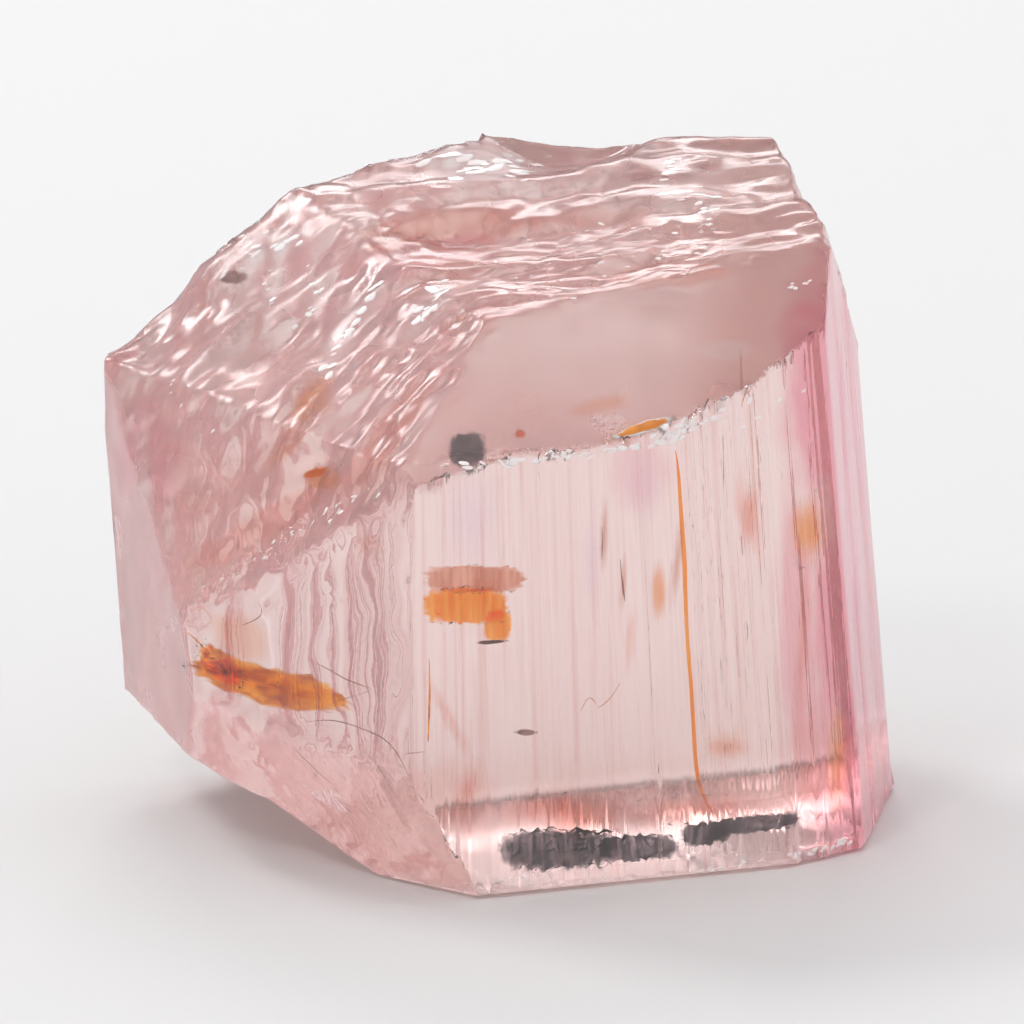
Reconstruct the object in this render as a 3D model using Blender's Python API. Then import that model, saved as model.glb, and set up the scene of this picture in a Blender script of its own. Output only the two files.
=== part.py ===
"""A stubby, broken crystal of imperial topaz that stands on its basal cleavage.

X runs to the right, Y away from the viewer and Z up. The growth prism leans a
little and narrows upwards, and its faces carry upright growth steps. The top,
the left side and the lower left are fractures with shell-shaped hollows.
Tables are in millimetres, and meshes in metres.
"""

import math
import random

import bmesh
import bpy
from mathutils import Vector, noise

MM = 0.001
PART_NAME = "topaz_crystal"

# The growth prism: each face's azimuth in degrees, where 0 faces the viewer and
# 90 the right, its distance from the foot of the front corner, and how deep its
# growth steps are. The azimuths are those of a topaz whose a-axis is turned 9
# degrees to the left: 27.9 degrees from it for (110) and 46.6 for (120).
PRISM_FACES = (
    ("front_prism", 18.9, -0.13, 0.060),
    ("right_prism", 37.6, 2.23, 0.050),
    ("right_pinacoid", 81.0, 7.98, 0.040),
    ("right_back_prism", 124.4, 12.8, 0.080),
    ("back_right_prism", 143.2, 14.4, 0.080),
    ("back_prism", -161.1, 11.6, 0.100),
    ("back_left_prism", -142.4, 12.5, 0.080),
    ("left_pinacoid", -99.0, 10.4, 0.040),
    ("left_prism", -55.6, 7.2, 0.060),
    ("front_left_prism", -36.9, 2.4, 0.030),
)
# The heights that the unbroken prism runs between, how far its top leans to the
# right, and how wide and deep its top is compared with its foot.
PRISM_LOW = -1.0
PRISM_HIGH = 17.0
PRISM_LEAN = -0.31
PRISM_TAPER = (0.87, 0.97)

# The least and greatest width of a growth step, and the width of its riser.
STEP_WIDTH = (0.16, 0.62)
STEP_RISER = 0.04
STEP_SEED = 11

# The fractures that bound the crystal: the way each one faces, a point on it,
# and the relief that it carries.
BREAKS = (
    ("base_cleavage", (0.0, 0.0, -1.0), (0.0, 0.0, 0.0), "flat"),
    ("front_bevel", (0.06, -0.62, 0.78), (3.0, 2.5, 11.6), "smooth"),
    ("top", (-0.09, -0.23, 0.966), (0.0, 7.6, 13.53), "ledges"),
    ("upper_left", (-0.42, -0.40, 0.81), (-3.3, 6.6, 12.42), "ripples"),
    ("left_shoulder", (-0.69, -0.61, 0.39), (-1.52, 0.0, 10.35), "ripples"),
    ("left_side", (-0.962, -0.272, -0.09), (-6.80, 3.1, 5.0), "smooth"),
    ("front_left", (-0.53, -0.85, 0.0), (-1.5, -0.38, 6.0), "smooth"),
    ("lower_left", (-0.544, -0.738, -0.399), (-2.68, 1.95, 0.12), "rough"),
    ("under_left", (-0.50, -0.14, -0.855), (-4.5, 6.0, 0.50), "rough"),
    ("front_foot", (0.28, -0.82, -0.50), (2.5, 0.92, 0.32), "rough"),
    ("right_foot", (0.76, -0.16, -0.63), (9.1, 4.6, 0.5), "rough"),
    ("top_right", (0.68, -0.08, 0.73), (7.4, 8.3, 14.3), "ledges"),
    ("right_shoulder", (0.93, 0.15, 0.34), (8.35, 8.0, 11.2), "rough"),
    ("back_crest", (0.115, 0.80, 0.60), (4.0, 11.2, 14.75), "rough"),
)
BREAK_MESH = 0.5

# Shell-shaped hollows in the fractures: the way each one opens, its centre, half
# its width and half its length, and its depth.
HOLLOWS = (
    ("bevel_dish", (0.06, -0.62, 0.78), (2.6, 2.0, 11.3), (3.4, 2.2), 0.40),
    ("shoulder_dip", (-0.42, -0.40, 0.81), (-7.9, 8.9, 11.6), (1.6, 2.2), 0.50),
    ("upper_left_bowl", (-0.42, -0.40, 0.81), (-4.4, 6.6, 12.0), (2.6, 2.6), 0.45),
    ("crest_dip", (-0.06, -0.23, 0.97), (1.9, 12.2, 14.9), (2.2, 2.4), 0.85),
    ("top_trough", (-0.10, -0.20, 0.97), (0.4, 7.4, 13.5), (3.4, 1.5), 0.40),
)
HOLLOW_REACH = 1.5

# How far each kind of relief stands out, the frequency of its noise, and the height
# above the base over which it comes in.
RELIEF_DEPTH = {"flat": 0.0, "smooth": 0.05, "rough": 0.16, "ripples": 0.22, "ledges": 0.20}
RELIEF_NOISE = 0.45
RELIEF_FADE = 0.5
RIPPLE_ACROSS = (-0.62, 0.45, 0.64)
RIPPLE_SPACING = 1.9
RIPPLE_BEND = 1.6
LEDGE_SPACING = 1.5
LEDGE_RAGGED = 0.7

# The least slope of a fracture at which its edge follows the relief, and the
# distances below which vertices are joined.
EDGE_SLOPE = 0.3
CROWDED = 0.1
WELD = 0.01

TOPAZ_COLOUR = (0.90, 0.55, 0.48, 1.0)
TOPAZ_ROUGHNESS = 0.12
TOPAZ_IOR = 1.62


def azimuth_normal(degrees):
    """The level direction that an upright face of this azimuth points to."""
    angle = math.radians(degrees)
    return Vector((math.sin(angle), -math.cos(angle)))


def meeting_corner(face, following):
    """Where two upright faces meet, seen from above."""
    first = azimuth_normal(face[1])
    second = azimuth_normal(following[1])
    across = first.x * second.y - first.y * second.x
    x = (face[2] * second.y - following[2] * first.y) / across
    y = (first.x * following[2] - second.x * face[2]) / across
    return Vector((x, y))


def stepped_face(start, end, inward, depth, chance):
    """The outline of one prism face, broken into growth steps of uneven width."""
    along = (end - start).normalized()
    length = (end - start).length
    points = []
    place = chance.uniform(*STEP_WIDTH)
    level = 0.0
    while place < length - STEP_WIDTH[0]:
        points.append(start + along * place + inward * level)
        level = depth * chance.random() ** 1.5
        points.append(start + along * (place + STEP_RISER) + inward * level)
        place += STEP_RISER + chance.uniform(*STEP_WIDTH)
    return points


def prism_outline():
    """The growth prism seen from above, corner by corner with the steps between them."""
    chance = random.Random(STEP_SEED)
    count = len(PRISM_FACES)
    corners = [meeting_corner(PRISM_FACES[i - 1], PRISM_FACES[i]) for i in range(count)]
    outline = []
    for i, (_, azimuth, _, depth) in enumerate(PRISM_FACES):
        start, end = corners[i], corners[(i + 1) % count]
        outline.append(start)
        outline += stepped_face(start, end, -azimuth_normal(azimuth), depth, chance)
    return outline


def everything(shape):
    """Every vertex, edge and face of the shape."""
    return [*shape.verts, *shape.edges, *shape.faces]


def draw_prism():
    """The whole prism before it broke: a cylinder fitted to the outline, leaning and tapering."""
    outline = prism_outline()
    shape = bmesh.new()
    bmesh.ops.create_cone(
        shape, cap_ends=True, segments=len(outline), radius1=1, radius2=1, depth=2
    )
    foot = [vert for vert in shape.verts if vert.co.z < 0]
    top = [vert for vert in shape.verts if vert.co.z > 0]
    for ring, height in ((foot, PRISM_LOW), (top, PRISM_HIGH)):
        for vert, corner in zip(ring, outline):
            vert.co = (corner.x, corner.y, height)
    bmesh.ops.scale(shape, verts=top, vec=(*PRISM_TAPER, 1))
    bmesh.ops.translate(shape, verts=top, vec=(PRISM_LEAN, 0, 0))
    bmesh.ops.recalc_face_normals(shape, faces=shape.faces)
    return shape


def growth_direction(point):
    """The way an upright edge of the leaning, tapering prism runs through this point."""
    height = PRISM_HIGH - PRISM_LOW
    share = (point.z - PRISM_LOW) / height
    narrow_x, narrow_y = 1 - PRISM_TAPER[0], 1 - PRISM_TAPER[1]
    foot_x = (point.x - PRISM_LEAN * share) / (1 - narrow_x * share)
    foot_y = point.y / (1 - narrow_y * share)
    return Vector((PRISM_LEAN - narrow_x * foot_x, -narrow_y * foot_y, height)).normalized()


def break_off(shape, breakage):
    """Cuts the prism along every fracture and numbers the new faces from 1 in the layer."""
    for number, (_, facing, point, _) in enumerate(BREAKS, 1):
        cut = bmesh.ops.bisect_plane(
            shape, geom=everything(shape), plane_co=point, plane_no=facing, clear_outer=True
        )
        edges = [part for part in cut["geom_cut"] if isinstance(part, bmesh.types.BMEdge)]
        for face in bmesh.ops.contextual_create(shape, geom=edges)["faces"]:
            face[breakage] = number
    bmesh.ops.recalc_face_normals(shape, faces=shape.faces)


def is_rough(face, breakage):
    """Whether this face is a fracture that carries relief."""
    return face[breakage] > 0 and BREAKS[face[breakage] - 1][3] != "flat"


def split_fractures(shape, breakage):
    """Divides the rough fractures into triangles of an even size, along level and upright planes."""
    for axis in range(3):
        direction = Vector((0, 0, 0))
        direction[axis] = 1
        steps = int(PRISM_HIGH / BREAK_MESH)
        for step in range(-steps, steps + 1):
            faces = [face for face in shape.faces if is_rough(face, breakage)]
            edges = dict.fromkeys(edge for face in faces for edge in face.edges)
            verts = dict.fromkeys(vert for face in faces for vert in face.verts)
            bmesh.ops.bisect_plane(
                shape,
                geom=[*verts, *edges, *faces],
                plane_co=direction * (step * BREAK_MESH),
                plane_no=direction,
            )
    inner, rim = sort_vertices(shape, breakage)
    near = bmesh.ops.find_doubles(shape, verts=inner, keep_verts=rim, dist=CROWDED)
    bmesh.ops.weld_verts(shape, targetmap=near["targetmap"])
    bmesh.ops.remove_doubles(shape, verts=shape.verts, dist=WELD)
    bmesh.ops.triangulate(shape, faces=shape.faces)


def sort_vertices(shape, breakage):
    """The vertices inside the rough fractures, and those where one meets a growth face."""
    inner, rim = [], []
    for vert in shape.verts:
        rough = [is_rough(face, breakage) for face in vert.link_faces]
        if all(rough):
            inner.append(vert)
        elif any(rough):
            rim.append(vert)
    return inner, rim


def ripple(point):
    """Shell-like ripples that run along the long diagonal edge, bent by slow noise."""
    across = Vector(RIPPLE_ACROSS).dot(point)
    bend = RIPPLE_BEND * noise.noise(point * 0.28)
    strength = 0.6 + 0.4 * noise.noise(point * 0.5)
    return strength * math.sin(2 * math.pi * (across + bend) / RIPPLE_SPACING)


def ledge(point):
    """Terraces that step up towards the back, their edges ragged."""
    ragged = noise.noise(Vector((point.x * 0.35, point.y * 0.9, point.z * 0.9)))
    share = (point.y + 0.5 * point.z + LEDGE_RAGGED * ragged) / LEDGE_SPACING % 1.0
    return 1.0 - 2.0 * share


def relief_height(point, style):
    """How far a fracture stands out at this point, from about -1 to 1."""
    rough = noise.fractal(point * RELIEF_NOISE, 0.9, 2.0, 3)
    if style == "ripples":
        return 0.6 * ripple(point) + 0.5 * rough
    if style == "ledges":
        return 0.5 * ledge(point) + 0.6 * rough
    return rough


def hollow_step(point, facing):
    """How a point of a fracture moves inwards where a hollow has been broken out."""
    move = Vector((0, 0, 0))
    for _, opening, centre, (half_width, half_length), depth in HOLLOWS:
        opening = Vector(opening).normalized()
        across = Vector((0, 1, 0)).cross(opening).normalized()
        along = opening.cross(across)
        offset = point - Vector(centre)
        reach = (offset.dot(across) / half_width) ** 2 + (offset.dot(along) / half_length) ** 2
        if reach < 1 and abs(offset.dot(opening)) < HOLLOW_REACH and facing.dot(opening) > 0.5:
            move -= opening * (depth * (1 - reach))
    return move


def fracture_shift(vert, breakage):
    """The direction that a vertex's fractures face, and how its relief and hollows move it."""
    faces = [face for face in vert.link_faces if is_rough(face, breakage)]
    facing = sum((face.normal for face in faces), Vector((0, 0, 0))).normalized()
    styles = [BREAKS[face[breakage] - 1][3] for face in faces]
    height = sum(RELIEF_DEPTH[style] * relief_height(vert.co, style) for style in styles) / len(styles)
    fade = min(1.0, max(0.0, vert.co.z / RELIEF_FADE))
    return facing, facing * (height * fade) + hollow_step(vert.co, facing)


def raise_relief(shape, breakage):
    """Roughens the fractures. A vertex on a growth face only slides along that face."""
    inner, rim = sort_vertices(shape, breakage)
    moves = []
    for vert in inner:
        moves.append((vert, fracture_shift(vert, breakage)[1]))
    for vert in rim:
        facing, shift = fracture_shift(vert, breakage)
        growth = growth_direction(vert.co)
        slope = growth.dot(facing)
        if abs(slope) > EDGE_SLOPE:
            moves.append((vert, growth * (shift.dot(facing) / slope)))
    for vert, move in moves:
        vert.co += move


def settle(shape):
    """Puts the middle of the underside of the shape's box at the origin."""
    places = [vert.co for vert in shape.verts]
    low = Vector(min(p[axis] for p in places) for axis in range(3))
    high = Vector(max(p[axis] for p in places) for axis in range(3))
    move = Vector((-(low.x + high.x) / 2, -(low.y + high.y) / 2, -low.z))
    bmesh.ops.translate(shape, verts=shape.verts, vec=move)


def topaz_material():
    """Clear pink-orange topaz."""
    material = bpy.data.materials.new("imperial_topaz")
    material.use_nodes = True
    shader = material.node_tree.nodes["Principled BSDF"]
    shader.inputs["Base Color"].default_value = TOPAZ_COLOUR
    shader.inputs["Roughness"].default_value = TOPAZ_ROUGHNESS
    shader.inputs["Metallic"].default_value = 0.0
    shader.inputs["IOR"].default_value = TOPAZ_IOR
    shader.inputs["Transmission Weight"].default_value = 1.0
    return material


def build_crystal(collection):
    """The crystal as an object of the collection, in metres."""
    shape = draw_prism()
    breakage = shape.faces.layers.int.new("breakage")
    break_off(shape, breakage)
    split_fractures(shape, breakage)
    raise_relief(shape, breakage)
    settle(shape)
    bmesh.ops.scale(shape, verts=shape.verts, vec=(MM, MM, MM))
    mesh = bpy.data.meshes.new(PART_NAME)
    shape.to_mesh(mesh)
    shape.free()
    mesh.materials.append(topaz_material())
    collection.objects.link(bpy.data.objects.new(PART_NAME, mesh))


def main():
    for thing in list(bpy.data.objects):
        bpy.data.objects.remove(thing)
    parts = bpy.data.collections.new("imperial_topaz")
    bpy.context.scene.collection.children.link(parts)
    build_crystal(parts)


main()
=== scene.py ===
"""The looks of a stubby, broken crystal of imperial topaz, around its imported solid.

Sizes and places are in millimetres unless a name says otherwise. X runs to the
right, Y away from the viewer and Z up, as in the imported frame. A place or size
named in pixels is one of the 1024-pixel photograph.
"""

from __future__ import annotations

import logging
import math
from dataclasses import dataclass, field
from enum import Enum

import bmesh
import bpy
import numpy as np
from mathutils import Euler, Matrix, Vector, noise
from mathutils.bvhtree import BVHTree


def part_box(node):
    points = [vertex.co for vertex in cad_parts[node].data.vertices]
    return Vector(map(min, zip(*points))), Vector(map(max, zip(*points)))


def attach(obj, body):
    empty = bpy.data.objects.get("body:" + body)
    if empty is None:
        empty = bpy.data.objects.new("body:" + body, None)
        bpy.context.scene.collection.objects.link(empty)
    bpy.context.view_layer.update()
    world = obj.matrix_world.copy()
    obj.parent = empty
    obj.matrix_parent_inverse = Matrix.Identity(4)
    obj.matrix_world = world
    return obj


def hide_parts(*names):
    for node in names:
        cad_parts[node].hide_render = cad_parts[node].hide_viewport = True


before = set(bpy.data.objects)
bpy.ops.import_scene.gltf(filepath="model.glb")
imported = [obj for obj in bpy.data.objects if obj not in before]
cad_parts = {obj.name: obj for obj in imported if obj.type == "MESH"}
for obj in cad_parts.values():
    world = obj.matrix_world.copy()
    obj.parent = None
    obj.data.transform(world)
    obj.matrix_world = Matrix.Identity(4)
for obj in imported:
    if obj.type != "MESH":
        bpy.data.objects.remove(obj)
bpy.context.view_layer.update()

MM = 0.001
NODE = "topaz_crystal"
BODY = "root"
PHOTO_PIXELS = 1024

Colour = tuple[float, float, float]
Pixel = tuple[float, float]
Pair = tuple[float, float]
Triple = tuple[float, float, float]
Socket = bpy.types.NodeSocket

# The names of the attributes that are not marks.
SURFACE = "surface"
GROWTH = "growth"
GRIT = "grit"
FOOT = "foot"
FULLNESS = "body"

# How near two vertices are to become one, and a vertex to a cut to lie on it, in metres.
WELD = 1e-6
THREAD_WELD = 1e-7
SNAP = 2e-6

log = logging.getLogger("topaz")


class Relief(Enum):
    """The kinds of fine relief that a fracture can carry."""

    SMOOTH = "smooth"
    GRAINY = "grainy"
    RIPPLES = "ripples"
    LEDGES = "ledges"
    CHIPS = "chips"


class Weave(Enum):
    """The kinds of noise that displace a surface."""

    CLOUDS = "CLOUDS"
    RIDGES = "MUSGRAVE"


class Mark(Enum):
    """What a patch does to the surface, each stored as an attribute of this name."""

    FROST = "frost"
    ROSE = "rose"
    MAUVE = "mauve"
    RUST = "rust"
    # Milky white, also used as painted highlights where the ripples catch the light.
    MILK_AND_HIGHLIGHT = "milk"


class Surface(Enum):
    """The numbers that tell the crystal's faces apart."""

    FRACTURE = 0
    FLAT = -1


@dataclass(frozen=True)
class Fracture:
    """One fracture of the crystal, as the plane that its relief lies about."""

    name: str
    facing: Triple
    point: Triple
    relief: Relief
    frost: float
    rose: float = 0.0

    def height_above(self, places: np.ndarray) -> np.ndarray:
        """How far each place lies outside this fracture's plane.

        Args:
            places: One row of x, y and z for each place.

        Returns:
            One distance for each place.
        """
        facing = np.array(self.facing) / np.linalg.norm(self.facing)
        return (places - np.array(self.point)) @ facing


@dataclass(frozen=True)
class GrowthFace:
    """One upright face of the growth prism, and how closely it is divided."""

    name: str
    azimuth: float
    spacing: float

    def facing(self) -> Vector:
        """The level direction that the face points to."""
        angle = math.radians(self.azimuth)
        return Vector((math.sin(angle), -math.cos(angle), 0.0))


@dataclass(frozen=True)
class Carving:
    """Fine relief made by one Displace modifier, as a texture stretched along its grain."""

    name: str
    kind: Relief
    texture: Weave
    size: Triple
    depth: float
    seed: float
    grain: Triple = (1.0, 0.0, 0.0)


@dataclass(frozen=True)
class Spot:
    """An ellipse on the photograph, in its pixels, turned anticlockwise by so many degrees."""

    centre: Pixel
    radii: Pixel
    turn: float = 0.0

    def reach(self, pixels: np.ndarray) -> np.ndarray:
        """How far out each pixel lies: 0 in the middle and 1 on the ellipse.

        Args:
            pixels: One row of x and y for each pixel.

        Returns:
            One number for each pixel.
        """
        angle = math.radians(self.turn)
        offset = pixels - np.array(self.centre)
        along = offset[:, 0] * math.cos(angle) - offset[:, 1] * math.sin(angle)
        across = offset[:, 0] * math.sin(angle) + offset[:, 1] * math.cos(angle)
        return np.hypot(along / self.radii[0], across / self.radii[1])


@dataclass(frozen=True)
class Patch:
    """A soft-edged spot of one mark on the side that the photograph shows.

    It reaches out to `outer` times its ellipse and fades over `fade` of it.
    """

    mark: Mark
    spot: Spot
    amount: float
    outer: float = 1.4
    fade: float = 0.8

    def strength(self, pixels: np.ndarray, ragged: np.ndarray) -> np.ndarray:
        """How strongly the patch marks each pixel.

        Args:
            pixels: One row of x and y for each pixel.
            ragged: How far noise moves the patch's edge at each pixel.

        Returns:
            The amount in the middle of the spot, falling to 0 outside it.
        """
        inside = self.outer - self.spot.reach(pixels) + ragged
        share = np.clip(inside, 0.0, self.fade) / self.fade
        return self.amount * share * share * (3.0 - 2.0 * share)


def patches(mark: Mark, *rows: tuple[Pixel, Pixel, float, float]) -> tuple[Patch, ...]:
    """Makes the patches of one mark.

    Args:
        mark: What they do to the surface.
        rows: The centre, radii, turn and amount of each.

    Returns:
        The patches.
    """
    return tuple(
        Patch(mark, Spot(centre, radii, turn), amount) for centre, radii, turn, amount in rows
    )


@dataclass(frozen=True)
class Lumps:
    """Smooth noise, with lumps of one size along each axis."""

    size: Triple
    seed: float = 0.0

    def at(self, places: np.ndarray) -> np.ndarray:
        """Reads the noise.

        Args:
            places: One row of x, y and z for each place.

        Returns:
            One number for each place, from about -1 to 1.
        """
        scaled = places / np.array(self.size) + self.seed
        return np.array([noise.noise(Vector(place)) for place in scaled])


# Each fracture's name, facing, a point on it, its relief, its frost and its rose tint.
FRACTURES = (
    Fracture("base", (0.0, 0.0, -1.0), (0.0, 0.0, 0.0), Relief.SMOOTH, 0.30),
    Fracture("front_bevel", (0.06, -0.62, 0.78), (2.65, -4.34, 11.6), Relief.SMOOTH, 0.36, 0.35),
    Fracture("top", (-0.09, -0.23, 0.966), (-0.35, 0.76, 13.53), Relief.LEDGES, 0.26, 0.42),
    Fracture("upper_left", (-0.42, -0.40, 0.81), (-3.65, -0.24, 12.42), Relief.RIPPLES, 0.27, 0.32),
    Fracture(
        "left_shoulder", (-0.69, -0.61, 0.39), (-1.87, -6.84, 10.35), Relief.RIPPLES, 0.22, 0.45
    ),
    Fracture("left_side", (-0.962, -0.272, -0.09), (-7.15, -3.74, 5.0), Relief.SMOOTH, 0.36),
    Fracture("front_left", (-0.53, -0.85, 0.0), (-1.85, -7.22, 6.0), Relief.SMOOTH, 0.03),
    Fracture(
        "lower_left", (-0.544, -0.738, -0.399), (-3.03, -4.89, 0.12), Relief.GRAINY, 0.22, 0.55
    ),
    Fracture("under_left", (-0.50, -0.14, -0.855), (-4.85, -0.84, 0.50), Relief.GRAINY, 0.24, 0.3),
    Fracture("front_foot", (0.28, -0.82, -0.50), (2.15, -5.92, 0.32), Relief.GRAINY, 0.40, 0.0),
    Fracture("right_foot", (0.76, -0.16, -0.63), (8.75, -2.24, 0.5), Relief.GRAINY, 0.26, 0.2),
    Fracture("top_right", (0.68, -0.08, 0.73), (7.05, 1.46, 14.3), Relief.LEDGES, 0.22, 0.5),
    Fracture("right_shoulder", (0.93, 0.15, 0.34), (8.0, 1.16, 11.2), Relief.GRAINY, 0.22, 0.4),
    Fracture("back_crest", (0.115, 0.80, 0.60), (3.65, 4.36, 14.75), Relief.GRAINY, 0.22, 0.1),
)

GROWTH_FACES = (
    GrowthFace("front_prism", 18.9, 0.11),
    GrowthFace("right_prism", 37.6, 0.11),
    GrowthFace("right_pinacoid", 81.0, 0.15),
    GrowthFace("right_back_prism", 124.4, 0.30),
    GrowthFace("back_right_prism", 143.2, 0.30),
    GrowthFace("back_prism", -161.1, 0.30),
    GrowthFace("back_left_prism", -142.4, 0.30),
    GrowthFace("left_pinacoid", -99.0, 0.30),
)

RIPPLE_WAY = (0.65, 0.49, 0.58)
LEDGE_WAY = (1.0, 0.05, 0.08)

# Each carving's name, relief, texture, size of its lumps, depth, seed and grain.
CARVINGS = (
    Carving("broad_ripples", Relief.RIPPLES, Weave.CLOUDS, (2.2, 0.8, 0.8), 0.45, 3.0, RIPPLE_WAY),
    Carving("ripple_ribs", Relief.RIPPLES, Weave.RIDGES, (2.2, 0.6, 0.6), 0.018, 11.0, RIPPLE_WAY),
    Carving("broad_ledges", Relief.LEDGES, Weave.CLOUDS, (2.2, 0.9, 0.6), 0.40, 5.0, LEDGE_WAY),
    Carving("ledge_ribs", Relief.LEDGES, Weave.RIDGES, (1.4, 0.35, 0.35), 0.035, 17.0, LEDGE_WAY),
    Carving("grains", Relief.GRAINY, Weave.CLOUDS, (0.5, 0.5, 0.5), 0.09, 2.0),
    Carving("chips", Relief.CHIPS, Weave.CLOUDS, (0.22, 0.16, 0.16), 0.16, 4.0),
    Carving("swells", Relief.SMOOTH, Weave.CLOUDS, (2.4, 2.4, 2.4), 0.06, 7.0),
)

# The striations of the growth faces, the ragged rims, the edges of patches and the frost.
FINE_STRIAE = Lumps((0.16, 0.16, 5.0))
BROAD_STRIAE = Lumps((0.55, 0.55, 9.0), 40.0)
FINE_JAGS = Lumps((0.22, 0.22, 0.22), 9.0)
BROAD_JAGS = Lumps((0.7, 0.7, 0.7))
FINE_EDGES = Lumps((0.5, 0.5, 0.5))
BROAD_EDGES = Lumps((1.6, 1.6, 1.6), 20.0)
FROST_CLOUDS = Lumps((1.1, 1.1, 1.1), 31.0)

# Where a rim between two faces is chipped.
CHIP_ZONES = (
    Spot((535, 456), (115, 9), 3.0),
    Spot((742, 414), (66, 10), 11.0),
    Spot((640, 874), (180, 12), 6.0),
    Spot((255, 560), (110, 9), 38.0),
)

# Where the fractures are divided once more, because the photograph shows them sharply.
FINE_ZONES = (
    Spot((670, 265), (190, 42)),
    Spot((360, 440), (215, 48), 45.0),
    Spot((380, 820), (150, 60), -25.0),
    Spot((640, 870), (190, 22), 6.0),
    Spot((535, 452), (125, 20), 3.0),
)

# The centre, radii, turn and amount of each patch.
PATCHES = (
    *patches(
        Mark.ROSE,
        ((455, 228), (95, 26), 8.0, 1.0),
        ((450, 268), (55, 22), 10.0, 0.7),
        ((642, 182), (12, 22), -5.0, 0.9),
        ((670, 275), (70, 14), 4.0, 0.8),
        ((600, 215), (60, 14), 3.0, 0.7),
        ((265, 525), (95, 16), 31.0, 0.85),
        ((385, 440), (75, 16), 52.0, 0.85),
        ((465, 332), (60, 18), 38.0, 0.6),
        ((190, 340), (50, 16), 50.0, 0.6),
        ((180, 480), (30, 50), 20.0, 0.6),
        ((575, 812), (60, 14), 0.0, 0.9),
        ((700, 815), (80, 12), 4.0, 0.5),
        ((748, 515), (9, 36), 15.0, 0.8),
        ((430, 800), (60, 34), 10.0, 0.5),
        ((836, 775), (46, 60), 4.0, 0.8),
    ),
    *patches(
        Mark.MAUVE,
        ((826, 400), (40, 120), 4.0, 1.0),
        ((848, 640), (34, 150), 4.0, 1.0),
        ((800, 640), (20, 140), 3.0, 0.7),
        ((846, 470), (26, 150), 4.0, 1.0),
        ((150, 460), (28, 60), 10.0, 0.5),
        ((640, 470), (28, 34), 0.0, 0.35),
        ((430, 255), (60, 16), 12.0, 0.4),
    ),
    *patches(
        Mark.RUST,
        ((268, 684), (66, 12), -14.0, 0.75),
        ((464, 602), (36, 16), 0.0, 0.6),
        ((497, 612), (9, 18), 0.0, 0.6),
        ((640, 428), (36, 7), 17.0, 0.5),
        ((312, 402), (14, 32), -38.0, 0.9),
        ((290, 440), (8, 34), -38.0, 0.6),
        ((322, 478), (18, 10), 0.0, 0.9),
        ((808, 530), (14, 22), 0.0, 0.9),
        ((836, 750), (8, 42), -4.0, 0.6),
        ((727, 746), (20, 9), 0.0, 0.6),
        ((368, 545), (14, 10), -30.0, 0.8),
        ((658, 592), (6, 22), 0.0, 0.7),
        ((240, 635), (32, 20), -30.0, 0.6),
        ((600, 405), (24, 7), 12.0, 0.5),
        ((640, 780), (150, 22), 0.0, 0.12),
    ),
    # Milky white zones, and painted highlights: the bright streak and spots on the rippled upper
    # left.
    *patches(
        Mark.MILK_AND_HIGHLIGHT,
        ((478, 163), (58, 20), 0.0, 1.0),
        ((600, 172), (190, 32), 2.0, 0.55),
        ((350, 328), (50, 11), 58.0, 0.9),
        ((430, 305), (28, 13), 60.0, 1.0),
        ((270, 243), (36, 14), 15.0, 0.8),
        ((325, 275), (22, 10), 20.0, 0.6),
        ((682, 165), (30, 12), 0.0, 0.9),
        ((688, 205), (32, 16), 0.0, 0.8),
        ((560, 190), (30, 12), 30.0, 0.5),
        ((728, 350), (26, 9), 0.0, 0.7),
        ((764, 465), (8, 28), 0.0, 0.7),
        ((770, 600), (10, 120), -3.0, 0.5),
        ((230, 420), (40, 26), 40.0, 0.4),
        ((300, 720), (60, 26), -20.0, 0.4),
        ((136, 580), (16, 120), -3.0, 1.0),
        ((340, 590), (70, 60), 30.0, 0.7),
    ),
    *patches(
        Mark.FROST,
        ((136, 580), (16, 120), -3.0, 0.55),
        ((640, 872), (170, 12), 6.0, 0.6),
        ((478, 163), (58, 20), 0.0, 0.5),
    ),
)


def deselect_all() -> None:
    """Leaves nothing selected and no object in edit mode."""
    if bpy.context.mode != "OBJECT":
        bpy.ops.object.mode_set(mode="OBJECT")
    bpy.ops.object.select_all(action="DESELECT")


def pick(piece: bpy.types.Object) -> None:
    """Selects one object alone and makes it active.

    Args:
        piece: The object to select.
    """
    deselect_all()
    piece.select_set(True)
    bpy.context.view_layer.objects.active = piece


def vertex_places(mesh: bpy.types.Mesh) -> np.ndarray:
    """Reads where the vertices of a mesh are.

    Args:
        mesh: The mesh, in metres.

    Returns:
        One row of x, y and z in millimetres for each vertex.
    """
    flat = np.zeros(len(mesh.vertices) * 3)
    mesh.vertices.foreach_get("co", flat)
    return flat.reshape(-1, 3) / MM


def place_vertices(mesh: bpy.types.Mesh, places: np.ndarray) -> None:
    """Moves the vertices of a mesh.

    Args:
        mesh: The mesh, in metres.
        places: One row of x, y and z in millimetres for each vertex.
    """
    mesh.vertices.foreach_set("co", (places * MM).ravel())
    mesh.update()


def vertex_normals(mesh: bpy.types.Mesh) -> np.ndarray:
    """Reads the way that each vertex of a mesh faces.

    Args:
        mesh: The mesh.

    Returns:
        One row of x, y and z for each vertex.
    """
    flat = np.zeros(len(mesh.vertices) * 3)
    mesh.vertex_normals.foreach_get("vector", flat)
    return flat.reshape(-1, 3)


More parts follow.
